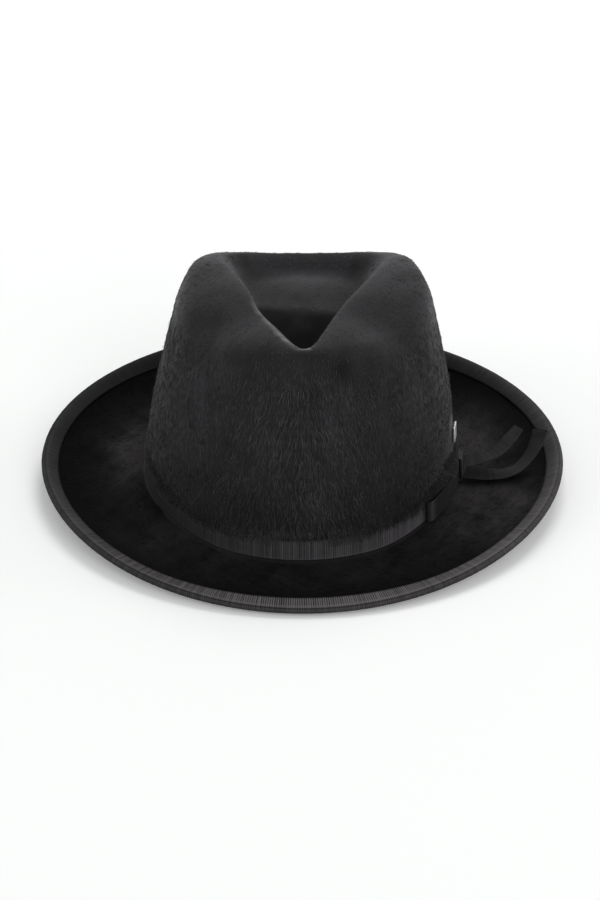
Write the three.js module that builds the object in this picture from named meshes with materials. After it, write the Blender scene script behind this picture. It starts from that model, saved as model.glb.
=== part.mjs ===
import * as THREE from 'three';

// A black long-haired felt fedora: teardrop crown, bound brim, narrow ribbon band, side bow and a small plate.
// Millimetres, +Z up, the front of the hat faces -Y and the bow is on +X, the wearer's left.

// One object for each row of a short table, with its values under the column names
function table(names, rows) {
  return rows.map((row) => Object.fromEntries(names.split(' ').map((name, k) => [name, row[k]])));
}

// Felt
const FELT = 2.0;
const COLUMNS = 72;
const GAP = 0.3;

// Root of the brim, where the crown's outer face meets the brim's top face
const HEAD_HALF_WIDTH = 85.8;
const HEAD_HALF_LENGTH = 103.8;
const HEAD_SHIFT = -0.9;
const ROOT_RADIUS = 2.0;
const SIDE_LIFT = 5.4;
const REST_ARC = 0.45;

// Edge of the brim's felt, taken at the middle of its thickness
const BRIM_HALF_WIDTH = 142.4;
const BRIM_FRONT = -157.9;
const BRIM_BACK = 160.9;
const EDGE_HEIGHT = { front: 3.2, side: 14.0, back: 15.0 };
const EDGE_POWER = 1.9;
const FLAT_SHARE = 0.2;
const CURL_POWER = 3.5;
const FRONT_ARCH = 26;
const BRIM_STOPS = [0.1, 0.2, 0.35, 0.5, 0.66, 0.8, 0.88, 0.94, 1];
const BINDING_STOPS = 3;
// Rings left out of the underside where the felt runs straight, counted in from the edge
const UNDER_SKIPS = [2, 4, 6, 8, 12, 14];

// Ribbon
const RIBBON = 1.0;
const BAND_WIDTH = 11.4;
const BAND_RISE = 1.6;

// Bow, by its distance from the widest point of the band towards the front, in columns
const KEEPER = { from: -0.87, to: -2.2, steps: 2 };
const BOW_LOOP = { from: -0.5, to: -7.6, steps: 9, swell: 1.4, nose: 0.25 };
const SWELL_START = 0.35;
const SWELL_END = 0.9;

// Middle lines of the two loose tails, from the keeper outwards; roll tips the front edge down, in degrees
const UPPER_TAIL = table('x y z roll', [
  [90.3, -13.8, 17.0, 7],
  [94.5, -13.7, 17.6, 6],
  [98.6, -13.1, 18.6, 4],
  [105.3, -11.4, 20.4, 0],
  [110.3, -9.2, 23.2, -4],
  [115.0, -6.6, 27.6, -9],
  [117.8, -4.8, 30.2, -13],
  [119.9, -3.4, 32.8, -16],
]);
const LOWER_TAIL = table('x y z roll', [
  [90.3, -14.8, 10.9, 12],
  [95.0, -15.7, 10.8, 12],
  [100.0, -16.3, 10.5, 9],
  [105.2, -16.1, 10.3, 4],
  [110.2, -15.0, 9.9, -2],
  [116.6, -12.9, 10.6, -7],
  [121.4, -10.7, 13.0, -10],
  [125.8, -8.0, 17.2, -12],
  [128.8, -5.5, 21.7, -16],
  [130.8, -3.0, 25.4, -20],
  [132.1, -0.8, 29.6, -24],
]);
const TAIL_STEPS = 14;

// Metal plate on the crown above the keeper
const PLATE = { width: 11.5, height: 8.3, thickness: 1.2, corner: 1.2, column: -1.55, z: 34.5 };

// Crown rings from the band up, over the ridge and down into the dent. Each ring is an oval from front to
// back, as wide on each side at the back as wide says. Taper draws it in towards the front, and shift moves
// it to the bow's side. Bulge pushes its left front out, in millimetres.
const CROWN = table('ring wide front back sideZ frontZ backZ taper shift bulge steps', [
  ['band top', 85.3, -102.6, 103, 22.4, 17, 17, 0, -0.9, 0, 1],
  ['low wall', 84.1, -99.3, 101.3, 36, 32, 32, 0, -0.7, 0, 1],
  ['middle wall', 81.6, -93.5, 97.6, 56, 54, 54, 0, 0.2, 0, 1],
  ['high wall', 77.6, -87.5, 93, 78, 76, 73, 0.02, 0.6, 0, 1],
  ['upper wall', 75.5, -82, 88, 98, 97, 88, 0.06, 0.9, 0, 1],
  ['shoulder', 79.4, -79.5, 84, 110, 108, 97, 0.2, 1.1, 0.5, 2],
  ['roll', 90, -77, 81, 116, 112, 101.5, 0.5, 1.1, 2.5, 2],
  ['ridge', 80, -73, 77, 117.3, 113, 103.3, 0.79, 1.1, 5.6, 2],
  ['lip', 72, -66, 72, 114, 109, 100, 0.79, 1.1, 6.2, 2],
  ['dent wall', 64, -57, 68.5, 106, 96, 96.5, 0.79, 1.1, 6.2, 2],
  ['dent foot', 54, -46, 62, 99, 86.5, 95.8, 0.75, 1.1, 5, 2],
  ['dent floor', 35, -30, 48, 98, 86, 98.5, 0.6, 1.1, 2.5, 2],
  ['hump', 12, -2, 32, 98.6, 95.2, 99.6, 0.3, 1.1, 0, 1],
]);
const BULGE_AT = -0.42;
const BULGE_SPREAD = 0.36;
const SAG_POWER = 3;

// Shallow pinches in the front of the crown, one on each side
const PINCH = { x: 42, y: -40, z: 106, radius: 22, depth: 7, fall: 90 };

const materials = {
  felt: { color: 0x1b1a1c, roughness: 0.95, metalness: 0 },
  ribbon: { color: 0x232224, roughness: 0.6, metalness: 0 },
  plate: { color: 0xc6c6c9, roughness: 0.3, metalness: 1 },
};

const part = new THREE.Group();

const smooth = (from, to, value) => THREE.MathUtils.smoothstep(value, from, to);

function direction(column) {
  const angle = (2 * Math.PI * column) / COLUMNS;
  return { c: Math.cos(angle), s: Math.sin(angle) };
}

// How far the brim's root rises at this side of the hat: nothing on the front and back arcs that it rests on
function rootLift(c) {
  return SIDE_LIFT * smooth(REST_ARC, 1, Math.abs(c));
}

function between(s, front, side, back, power) {
  const end = s < 0 ? front : back;
  return side + (end - side) * Math.abs(s) ** power;
}

function crownPoint(ring, column) {
  const { c, s } = direction(column);
  const middle = (ring.front + ring.back) / 2;
  const reach = (ring.back - ring.front) / 2;
  const width = ring.wide * (1 - ring.taper * (1 - ((1 + s) / 2) ** 2));
  const height = between(s, ring.frontZ, ring.sideZ, ring.backZ, SAG_POWER);
  const bulge = ring.bulge * Math.min(0, Math.sign(c)) * Math.exp(-(((s - BULGE_AT) / BULGE_SPREAD) ** 2));
  return new THREE.Vector3(ring.shift + width * c + bulge, middle + reach * s, height);
}

function rootPoint(column, out, up) {
  const { c, s } = direction(column);
  const x = HEAD_SHIFT + (HEAD_HALF_WIDTH + out) * c;
  return new THREE.Vector3(x, (HEAD_HALF_LENGTH + out) * s, FELT + rootLift(c) + up);
}

// A point on the brim's top face, share of the way from the root to the edge
function brimPoint(column, share) {
  const { c, s } = direction(column);
  const root = rootPoint(column, ROOT_RADIUS, 0);
  const middle = (BRIM_FRONT + BRIM_BACK) / 2;
  const reach = (BRIM_BACK - BRIM_FRONT) / 2;
  const edge = new THREE.Vector3(BRIM_HALF_WIDTH * c, middle + reach * s, 0);
  const point = root.clone().lerp(edge, share);
  const curl = Math.max(0, (share - FLAT_SHARE) / (1 - FLAT_SHARE));
  const edgeTop = between(s, EDGE_HEIGHT.front, EDGE_HEIGHT.side, EDGE_HEIGHT.back, EDGE_POWER) + FELT / 2;
  const arch = FRONT_ARCH * Math.max(0, -s) ** 2;
  point.z = root.z + (edgeTop - root.z) * curl ** CURL_POWER + arch * curl ** 2 * (1 - curl);
  return point;
}

function pinched(point) {
  const side = Math.sign(point.x) || 1;
  const centre = new THREE.Vector3(side * PINCH.x, PINCH.y, PINCH.z);
  const share = Math.exp(-((point.distanceTo(centre) / PINCH.radius) ** 2));
  const inward = new THREE.Vector3(-side * PINCH.x, -PINCH.y, -PINCH.fall).normalize();
  return point.addScaledVector(inward, PINCH.depth * share);
}

// The outer face of the felt as rings, from the middle of the dent out to the brim's edge
function outerRings() {
  const columns = [];
  for (let i = 0; i < COLUMNS; i++) {
    const foot = rootPoint(i, 0, ROOT_RADIUS);
    const stations = CROWN.map((ring) => crownPoint(ring, i));
    const curve = new THREE.CatmullRomCurve3([foot, ...stations], false, 'centripetal');
    const column = [foot];
    CROWN.forEach((ring, k) => {
      for (let step = 1; step <= ring.steps; step++) {
        column.push(pinched(curve.getPoint((k + step / ring.steps) / CROWN.length)));
      }
    });
    column.reverse();
    const turn = ROOT_RADIUS * (1 - Math.SQRT1_2);
    column.push(rootPoint(i, turn, turn), rootPoint(i, ROOT_RADIUS, 0));
    BRIM_STOPS.forEach((share) => column.push(brimPoint(i, share)));
    columns.push(column);
  }
  return columns[0].map((_, row) => columns.map((column) => column[row]));
}

// The outward direction of each point of a grid of rings, from its neighbours
function faceNormals(rings) {
  return rings.map((ring, r) => ring.map((_, i) => {
    const along = ring[(i + 1) % COLUMNS].clone().sub(ring[(i + COLUMNS - 1) % COLUMNS]);
    const after = rings[Math.min(r + 1, rings.length - 1)][i];
    const before = rings[Math.max(r - 1, 0)][i];
    return after.clone().sub(before).cross(along).normalize();
  }));
}

// A closed body from a row of closed loops of equal length, joined end to start or closed at each end
function skin(loops, joined) {
  const count = loops[0].length;
  const points = loops.flat();
  const faces = [];
  const spans = joined ? loops.length : loops.length - 1;
  for (let r = 0; r < spans; r++) {
    const a = r * count;
    const b = ((r + 1) % loops.length) * count;
    for (let i = 0; i < count; i++) {
      const j = (i + 1) % count;
      faces.push([a + i, a + j, b + j], [a + i, b + j, b + i]);
    }
  }
  if (!joined) {
    [0, loops.length - 1].forEach((r) => {
      const centre = new THREE.Vector3();
      loops[r].forEach((point) => centre.addScaledVector(point, 1 / count));
      const hub = points.push(centre) - 1;
      for (let i = 0; i < count; i++) {
        const edge = [r * count + i, r * count + (i + 1) % count];
        faces.push(r === 0 ? [hub, edge[1], edge[0]] : [hub, edge[0], edge[1]]);
      }
    });
  }
  const volume = faces.reduce((sum, [a, b, c]) => sum + points[a].dot(points[b].clone().cross(points[c])), 0);
  const turned = volume < 0 ? faces.map(([a, b, c]) => [a, c, b]) : faces;
  const geometry = new THREE.BufferGeometry().setFromPoints(points);
  geometry.setIndex(turned.flat());
  geometry.computeVertexNormals();
  return geometry;
}

function add(name, geometry, look) {
  const mesh = new THREE.Mesh(geometry, new THREE.MeshStandardMaterial(look));
  mesh.name = name;
  part.add(mesh);
  return mesh;
}

const outer = outerRings();
const normals = faceNormals(outer);
const offset = (row, i, distance) => outer[row][i].clone().addScaledVector(normals[row][i], distance);
const EDGE_ROW = outer.length - 1;
const FOOT_ROW = EDGE_ROW - BRIM_STOPS.length - 2;

// The middle of the felt's thickness at the brim's edge, and the way that the brim points there
function edgeFrame(i) {
  const up = normals[EDGE_ROW][i];
  const out = outer[EDGE_ROW][i].clone().sub(outer[EDGE_ROW - 1][i]).normalize();
  return { middle: offset(EDGE_ROW, i, -FELT / 2), up, out };
}

function feltBody() {
  const ring = (pick) => Array.from({ length: COLUMNS }, (_, i) => pick(i));
  const nose = ring((i) => {
    const { middle, out } = edgeFrame(i);
    return middle.addScaledVector(out, FELT / 2);
  });
  const kept = outer.map((_, row) => row).filter((row) => !UNDER_SKIPS.includes(EDGE_ROW - row));
  const under = kept.map((row) => ring((i) => offset(row, i, -FELT)));
  return skin([...outer, nose, ...under.reverse()], false);
}

// A folded ribbon over the brim's edge
function brimBinding() {
  const inside = GAP;
  const outside = GAP + RIBBON;
  const first = EDGE_ROW - BINDING_STOPS + 1;
  const loops = [];
  for (let i = 0; i < COLUMNS; i++) {
    const { middle, up, out } = edgeFrame(i);
    const tip = (distance) => middle.clone().addScaledVector(out, FELT / 2 + distance);
    const reach = (FELT / 2 + outside) * Math.SQRT1_2;
    const corner = (side) => middle.clone().addScaledVector(out, reach).addScaledVector(up, side * reach);
    const loop = [];
    for (let row = first; row <= EDGE_ROW; row++) loop.push(offset(row, i, outside));
    loop.push(corner(1), tip(outside), corner(-1));
    for (let row = EDGE_ROW; row >= first; row--) loop.push(offset(row, i, -FELT - outside));
    loop.push(offset(first, i, -FELT - inside), offset(EDGE_ROW, i, -FELT - inside));
    loop.push(tip(inside), offset(EDGE_ROW, i, inside), offset(first, i, inside));
    loops.push(loop);
  }
  return skin(loops, true);
}

// The crown's wall at the band, at any place round the hat: its foot, the way up it and the way out of it
function wallFrame(column) {
  const foot = rootPoint(column, 0, ROOT_RADIUS);
  const up = crownPoint(CROWN[0], column).sub(foot).normalize();
  const next = rootPoint(column + 0.1, 0, ROOT_RADIUS);
  const out = next.sub(foot).cross(up).normalize();
  const at = (away, rise) => foot.clone().addScaledVector(up, rise - ROOT_RADIUS).addScaledVector(out, away);
  return { at, up, out };
}

function hatBand() {
  const loops = [];
  for (let i = 0; i < COLUMNS; i++) {
    const { at } = wallFrame(i);
    const low = BAND_RISE;
    const high = BAND_RISE + BAND_WIDTH;
    loops.push([at(GAP, low), at(GAP + RIBBON, low), at(GAP + RIBBON, high), at(GAP, high)]);
  }
  return skin(loops, true);
}

// A ribbon folded back on itself at the front, laid over the band, with both ends under the keeper
function bowLoop() {
  const inner = 2 * GAP + 1.5 * RIBBON;
  const outer = inner + RIBBON + GAP;
  const legs = [];
  for (let k = 0; k <= BOW_LOOP.steps; k++) {
    const share = k / BOW_LOOP.steps;
    const column = THREE.MathUtils.lerp(BOW_LOOP.from, BOW_LOOP.to, share);
    legs.push({ column, swell: BOW_LOOP.swell * smooth(SWELL_START, SWELL_END, share) });
  }
  const front = legs[legs.length - 1];
  const noseColumn = front.column - BOW_LOOP.nose;
  const path = [
    ...legs.map(({ column }) => ({ column, away: inner })),
    { column: noseColumn, away: (inner + outer + front.swell) / 2 },
    ...legs.reverse().map(({ column, swell }) => ({ column, away: outer + swell })),
  ];
  const middles = path.map(({ column, away }) => wallFrame(column).at(away, BAND_RISE + BAND_WIDTH / 2));
  const loops = middles.map((middle, k) => {
    const { up } = wallFrame(path[k].column);
    const next = middles[Math.min(k + 1, middles.length - 1)];
    const along = next.clone().sub(middles[Math.max(k - 1, 0)]);
    return ribbonSection(middle, up, along.cross(up).normalize());
  });
  return skin(loops, false);
}

// Four corners of a ribbon's cut end, from its middle, the way across it and the way out of its face
function ribbonSection(middle, across, face) {
  const corner = (side, depth) => middle.clone()
    .addScaledVector(across, side * BAND_WIDTH / 2)
    .addScaledVector(face, depth * RIBBON / 2);
  return [corner(-1, -1), corner(1, -1), corner(1, 1), corner(-1, 1)];
}

// A strap over the band and the loop, with a lip above and below them
function bowKeeper() {
  const clear = 2 * GAP + RIBBON;
  const inside = 3 * RIBBON + 4 * GAP;
  const outside = inside + RIBBON;
  const low = BAND_RISE - GAP;
  const high = BAND_RISE + BAND_WIDTH + GAP;
  const bends = [
    { top: [clear, high + RIBBON], under: [clear, high] },
    { top: [outside, high + RIBBON], under: [inside, high] },
    { top: [outside, low - RIBBON], under: [inside, low] },
    { top: [clear, low - RIBBON], under: [clear, low] },
  ];
  const frames = [];
  for (let k = 0; k <= KEEPER.steps; k++) {
    frames.push(wallFrame(THREE.MathUtils.lerp(KEEPER.from, KEEPER.to, k / KEEPER.steps)));
  }
  const back = [...frames].reverse();
  const loops = bends.map(({ top, under }) => [
    ...frames.map(({ at }) => at(...top)),
    ...back.map(({ at }) => at(...under)),
  ]);
  return skin(loops, false);
}

function ribbonTail(stations) {
  const curve = new THREE.CatmullRomCurve3(stations.map(({ x, y, z }) => new THREE.Vector3(x, y, z)));
  const loops = [];
  for (let k = 0; k <= TAIL_STEPS; k++) {
    const share = k / TAIL_STEPS;
    const along = curve.getTangent(share);
    const place = share * (stations.length - 1);
    const before = stations[Math.floor(place)];
    const after = stations[Math.min(Math.floor(place) + 1, stations.length - 1)];
    const roll = THREE.MathUtils.lerp(before.roll, after.roll, place % 1);
    const level = new THREE.Vector3(0, 0, 1).cross(along).normalize();
    const across = level.applyAxisAngle(along, THREE.MathUtils.degToRad(roll));
    loops.push(ribbonSection(curve.getPoint(share), across, across.clone().cross(along)));
  }
  return skin(loops, false);
}

function sidePlate() {
  const [w, h, r] = [PLATE.width / 2, PLATE.height / 2, PLATE.corner];
  const outline = new THREE.Shape();
  outline.moveTo(-w + r, -h);
  outline.lineTo(w - r, -h).absarc(w - r, -h + r, r, -Math.PI / 2, 0, false);
  outline.lineTo(w, h - r).absarc(w - r, h - r, r, 0, Math.PI / 2, false);
  outline.lineTo(-w + r, h).absarc(-w + r, h - r, r, Math.PI / 2, Math.PI, false);
  outline.lineTo(-w, -h + r).absarc(-w + r, -h + r, r, Math.PI, 1.5 * Math.PI, false);
  const settings = { depth: PLATE.thickness, bevelEnabled: false, curveSegments: 4 };
  return new THREE.ExtrudeGeometry(outline, settings);
}

// Lays the plate flat on the low wall of the crown
function seatPlate(plate) {
  const [below, above] = [CROWN[0], CROWN[1]].map((ring) => crownPoint(ring, PLATE.column));
  const beside = crownPoint(CROWN[1], PLATE.column + 0.1);
  const up = above.clone().sub(below).normalize();
  const out = beside.sub(above).cross(up).normalize();
  const across = up.clone().cross(out);
  const share = (PLATE.z - below.z) / (above.z - below.z);
  plate.position.copy(below).lerp(above, share).addScaledVector(out, 1.5 * GAP);
  plate.quaternion.setFromRotationMatrix(new THREE.Matrix4().makeBasis(across, up, out));
}

add('felt_body', feltBody(), materials.felt);
add('brim_binding', brimBinding(), materials.ribbon);
add('hat_band', hatBand(), materials.ribbon);
add('bow_loop', bowLoop(), materials.ribbon);
add('bow_keeper', bowKeeper(), materials.ribbon);
add('tail_upper', ribbonTail(UPPER_TAIL), materials.ribbon);
add('tail_lower', ribbonTail(LOWER_TAIL), materials.ribbon);
seatPlate(add('side_plate', sidePlate(), materials.plate));

// The origin is the middle of the hat's outline on the surface that it rests on
const box = new THREE.Box3().setFromObject(part);
part.position.set(-(box.min.x + box.max.x) / 2, -(box.min.y + box.max.y) / 2, -box.min.z);

export default part;
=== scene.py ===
"""A black long-haired felt fedora: brushed felt, bound brim, narrow ribbed band, flat side bow and a plain plate.

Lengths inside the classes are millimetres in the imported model's frame, and meshes are made in metres.
"""
import logging
import math
from dataclasses import dataclass, field
from enum import Enum
from typing import Callable, Sequence

import bmesh
import bpy
import numpy as np
from mathutils import Matrix, Vector
from mathutils.kdtree import KDTree


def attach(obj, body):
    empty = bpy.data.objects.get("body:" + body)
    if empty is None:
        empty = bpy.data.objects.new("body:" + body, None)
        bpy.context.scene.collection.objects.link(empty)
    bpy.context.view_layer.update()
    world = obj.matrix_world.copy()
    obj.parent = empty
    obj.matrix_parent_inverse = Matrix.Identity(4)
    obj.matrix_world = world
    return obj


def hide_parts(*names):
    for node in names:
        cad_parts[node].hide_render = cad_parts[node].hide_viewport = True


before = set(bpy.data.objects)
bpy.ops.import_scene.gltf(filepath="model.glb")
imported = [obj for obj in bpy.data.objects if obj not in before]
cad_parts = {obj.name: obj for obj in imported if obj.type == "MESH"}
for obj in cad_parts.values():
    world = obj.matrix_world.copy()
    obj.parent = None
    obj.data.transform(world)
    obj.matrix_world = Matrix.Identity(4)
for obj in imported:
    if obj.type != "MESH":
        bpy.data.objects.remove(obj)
LOG = logging.getLogger("fedora")
MM = 0.001
WELD = 2e-6
TURN = 2 * math.pi
Array = np.ndarray


class Lay(Enum):
    """How a patch of nap is combed."""

    CROWN = "down the crown"
    BRIM = "round the brim"
    UNDER = "short, under the brim"


# Small vector helpers


def unit(rows: Array) -> Array:
    """Return the rows of an array of vectors at length one."""
    return rows / np.maximum(np.linalg.norm(rows, axis=-1, keepdims=True), 1e-12)


def ease(low: float, high: float, value: Array) -> Array:
    """Return a smooth step from 0 at low to 1 at high."""
    share = np.clip((value - low) / (high - low), 0.0, 1.0)
    return share * share * (3.0 - 2.0 * share)


def near(points: Array, place: tuple, reach: tuple) -> Array:
    """Return how near points lie to a place: 1 there, falling away over its reach along each axis."""
    return np.exp(-np.sum(((points - np.array(place)) / np.array(reach)) ** 2, axis=1))


def drift(points: Array, wave: float, seed: int) -> Array:
    """Make a smooth uneven field from a few crossed waves.

    Args:
        points: Places, one to a row, in millimetres.
        wave: The shortest wavelength.
        seed: Picks the directions and phases.

    Returns:
        One value a place, mostly between -1 and 1.
    """
    waves, longest, phases, spread = 7, 2.6, 6.3, 3.2
    rng = np.random.default_rng(seed)
    total = np.zeros(len(points))
    for _ in range(waves):
        way = unit(rng.normal(size=3))
        total += np.sin(points @ way * (TURN / (wave * rng.uniform(1.0, longest))) + rng.uniform(0, phases))
    return total / spread


def smooth_curve(stations: Array, shares: Array) -> Array:
    """Run a smooth curve through stations.

    Args:
        stations: Points of any width, one to a row.
        shares: Places from 0 at the first station to 1 at the last.

    Returns:
        The curve's points at those places.
    """
    ends = np.vstack([2 * stations[0] - stations[1], stations, 2 * stations[-1] - stations[-2]])
    place = np.clip(shares, 0, 1) * (len(stations) - 1)
    start = np.minimum(place.astype(int), len(stations) - 2)
    t = (place - start)[:, None]
    a, b, c, d = (ends[start + k] for k in range(4))
    return 0.5 * (2 * b + (c - a) * t + (2 * a - 5 * b + 4 * c - d) * t ** 2 + (3 * b - a - 3 * c + d) * t ** 3)


def even_shares(path: Callable[[Array], Array], step: float, per: int) -> Array:
    """Find places along a path that lie a step apart.

    Args:
        path: Gives the points at shares from 0 to 1.
        step: The wanted distance between places.
        per: The number of places is a multiple of this.

    Returns:
        The shares of those places.
    """
    samples = 4001
    fine = np.linspace(0, 1, samples)
    gone = np.concatenate([[0], np.cumsum(np.linalg.norm(np.diff(path(fine), axis=0), axis=1))])
    count = max(per, int(round(gone[-1] / step / per)) * per)
    return np.interp(np.linspace(0, gone[-1], count + 1), gone, fine)


# Shader maths


class Sock:
    """An output socket whose arithmetic adds Math nodes."""

    def __init__(self, bench: "Bench", socket: bpy.types.NodeSocket) -> None:
        """Keep the socket and the bench that it belongs to."""
        self.bench = bench
        self.socket = socket

    def maths(self, operation: str, *others: "Sock | float", clamp: bool = False) -> "Sock":
        """Add a Math node.

        Args:
            operation: The node's operation.
            others: Its other inputs.
            clamp: Keep the result between 0 and 1.

        Returns:
            The node's output.
        """
        values = dict(enumerate((self, *others)))
        return self.bench.node("ShaderNodeMath", {"operation": operation, "use_clamp": clamp}, values)

    def __add__(self, other: "Sock | float") -> "Sock":
        """Return the sum."""
        return self.maths("ADD", other)

    __radd__ = __add__

    def __mul__(self, other: "Sock | float") -> "Sock":
        """Return the product."""
        return self.maths("MULTIPLY", other)

    __rmul__ = __mul__

    def __sub__(self, other: "Sock | float") -> "Sock":
        """Return the difference."""
        return self.maths("SUBTRACT", other)

    def __rsub__(self, other: float) -> "Sock":
        """Return a number less this socket."""
        return self.maths("MULTIPLY_ADD", -1.0, other)

    def __pow__(self, other: float) -> "Sock":
        """Return this socket raised to a power."""
        return self.maths("POWER", other)

    def between(self, low: float, high: float) -> "Sock":
        """Return a smooth step of this socket from 0 at low to 1 at high."""
        settings = {"interpolation_type": "SMOOTHSTEP"}
        return self.bench.node("ShaderNodeMapRange", settings, {0: self, 1: low, 2: high, 3: 0.0, 4: 1.0})


class Bench:
    """Makes the nodes of one material, or of the world."""

    def __init__(self, owner: bpy.types.Material | bpy.types.World) -> None:
        """Start with the owner's node tree empty.

        Args:
            owner: The material or the world.
        """
        self.owner = owner
        owner.use_nodes = True
        self.tree = owner.node_tree
        self.tree.nodes.clear()

    @classmethod
    def named(cls, name: str) -> "Bench":
        """Return the bench of a new material."""
        return cls(bpy.data.materials.new(name))

    def node(
        self, kind: str, settings: dict | None = None, values: dict | None = None, out: int | str = 0,
    ) -> Sock | None:
        """Add a node.

        Args:
            kind: The node's type.
            settings: Its properties, which are set first.
            values: What its inputs get, by index or name.
            out: Which output to return.

        Returns:
            The chosen output, or None for a node that has none.
        """
        node = self.tree.nodes.new(kind)
        for key, value in (settings or {}).items():
            setattr(node, key, value)
        for key, value in (values or {}).items():
            if isinstance(value, Sock):
                self.tree.links.new(value.socket, node.inputs[key])
            else:
                node.inputs[key].default_value = value
        return Sock(self, node.outputs[out]) if node.outputs else None

    def mix(self, factor: Sock | float, first: Sock | tuple, second: Sock | tuple) -> Sock:
        """Return a mix of two colours, each a tuple or a socket, by how much of the second it holds."""
        first, second = (c if isinstance(c, Sock) else (*c, 1.0) for c in (first, second))
        return self.node("ShaderNodeMix", {"data_type": "RGBA"}, {0: factor, 6: first, 7: second}, out=2)

    def noise(self, vector: Sock, scale: float, detail: float = 3.0, rough: float = 0.55) -> Sock:
        """Return a noise texture's value."""
        values = {"Vector": vector, "Scale": scale, "Detail": detail, "Roughness": rough}
        return self.node("ShaderNodeTexNoise", None, values)

    def grain(self, scale: tuple[float, float, float], detail: float = 3.0, rough: float = 0.55) -> Sock:
        """Make noise on Object coordinates.

        Args:
            scale: How fine it is along each axis.
            detail: How many finer layers it has.
            rough: How strong those are.

        Returns:
            The noise's value.
        """
        spot = self.node("ShaderNodeTexCoord", out="Object")
        place = self.node("ShaderNodeMapping", None, {"Vector": spot, "Scale": scale})
        return self.noise(place, 1.0, detail, rough)

    def attribute(self, name: str) -> Sock:
        """Return a mesh attribute's value."""
        return self.node("ShaderNodeAttribute", {"attribute_name": name}, out="Fac")

    def bump(self, height: Sock, distance: float, strength: float) -> Sock:
        """Return a normal bumped by a height over a distance in metres."""
        return self.node("ShaderNodeBump", None, {"Height": height, "Distance": distance, "Strength": strength})

    def close(self, shader: Sock, kind: str) -> bpy.types.Material | bpy.types.World:
        """Link a shader to an output node of some kind, and return the material or the world."""
        self.node(kind, None, {"Surface": shader})
        return self.owner

    def finish(self, values: dict, dull: dict | None = None, share: Sock | None = None) -> bpy.types.Material:
        """Close the tree with a Principled shader, or a mix of two.

        Args:
            values: What the shader's sockets get.
            dull: What a second shader's sockets get.
            share: How much of the second shows.

        Returns:
            The material.
        """
        shader = self.node("ShaderNodeBsdfPrincipled", None, values)
        if dull is not None:
            other = self.node("ShaderNodeBsdfPrincipled", None, dull)
            shader = self.node("ShaderNodeMixShader", None, {0: share, 1: shader, 2: other})
        return self.close(shader, "ShaderNodeOutputMaterial")


# Finishes. Grains are noise scales along X, Y and Z, and a bump is its distance in metres and its strength.


@dataclass(frozen=True)
class FeltFinish:
    """Brushed black fur felt, seen between the hairs of its nap."""

    name: str = "felt_crown"
    dark: tuple = (0.0045, 0.004, 0.0046)
    light: tuple = (0.024, 0.0225, 0.025)
    # Colour of the painted highlight along the dent's left edge.
    ridge_highlight: tuple = (0.17, 0.163, 0.165)
    contrast: float = 1.0
    sheen: float = 0.32
    shine: float = 0.2
    # Shine of the sheenless felt where the felt has painted shade.
    shaded_shine: float = 0.03
    sheen_tint: tuple = (0.72, 0.7, 0.74, 1.0)
    upright_grain: tuple = (1100.0, 1100.0, 140.0)
    level_grain: tuple = (480.0, 480.0, 800.0)
    patch_grain: tuple = (28.0, 28.0, 22.0)
    rough: float = 0.6
    even_tone: float = 0.6
    bump: tuple = (0.0003, 0.5)

    def material(self) -> bpy.types.Material:
        """Make the felt's material, with painted shade, dead black and sheenless, in the deep front of the dent.

        Returns:
            The material.
        """
        bench = Bench.named(self.name)
        upright = bench.grain(self.upright_grain, 4.0, self.rough)
        level = bench.grain(self.level_grain, 4.0, self.rough)
        patch = bench.grain(self.patch_grain, 3.0, self.rough)
        streak = level + (upright - level) * bench.attribute("wall")
        loose = bench.attribute("loose")
        tone = (streak.between(0.34, 0.7) * 0.7 + patch.between(0.3, 0.7) * 0.35).maths("MINIMUM", 1.0)
        tone = (tone - self.even_tone) * ((loose * 0.75 + 0.25) * self.contrast) + self.even_tone
        # Painted light and shade come in through the shade attribute, and a painted highlight runs along the dent's
        # left edge.
        colour = bench.mix(tone * bench.attribute("shade"), self.dark, self.light)
        colour = bench.mix(bench.attribute("painted_light"), colour, self.ridge_highlight)
        normal = bench.bump((streak * 0.8 + patch * 0.5) * loose, *self.bump)
        return bench.finish({
            "Base Color": colour,
            "Roughness": 0.78 + 0.2 * patch,
            "Specular IOR Level": self.shine,
            "Sheen Weight": self.sheen,
            "Sheen Roughness": 0.4,
            "Sheen Tint": self.sheen_tint,
            "Normal": normal,
        # The second shader, without sheen, shows on the painted shade of the dent's front and beside the bow.
        }, {
            "Base Color": colour,
            "Roughness": 0.9,
            "Specular IOR Level": self.shaded_shine,
            "Normal": normal,
        }, bench.attribute("painted_shade"))


@dataclass(frozen=True)
class NapFinish:
    """The hairs of the nap, from dead black to a soft charcoal."""

    name: str = "nap_crown"
    dark: tuple = (0.005, 0.0045, 0.0055)
    light: tuple = (0.088, 0.082, 0.094)
    warm: tuple = (0.082, 0.072, 0.068)
    sheen: float = 0.2
    shine: float = 0.25
    patch_grain: tuple = (60.0, 60.0, 60.0)
    fine_grain: tuple = (2500.0, 2500.0, 2500.0)

    def material(self) -> bpy.types.Material:
        """Make the nap's material.

        Returns:
            The material.
        """
        bench = Bench.named(self.name)
        patch = bench.grain(self.patch_grain, 2.0)
        pale = bench.mix(patch.between(0.4, 0.62), self.light, self.warm)
        return bench.finish({
            "Base Color": bench.mix(bench.attribute("tone"), self.dark, pale),
            "Roughness": 0.5 + 0.25 * bench.grain(self.fine_grain, 1.0),
            "Specular IOR Level": self.shine,
            "Sheen Weight": self.sheen,
            "Sheen Roughness": 0.4,
        })


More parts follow.
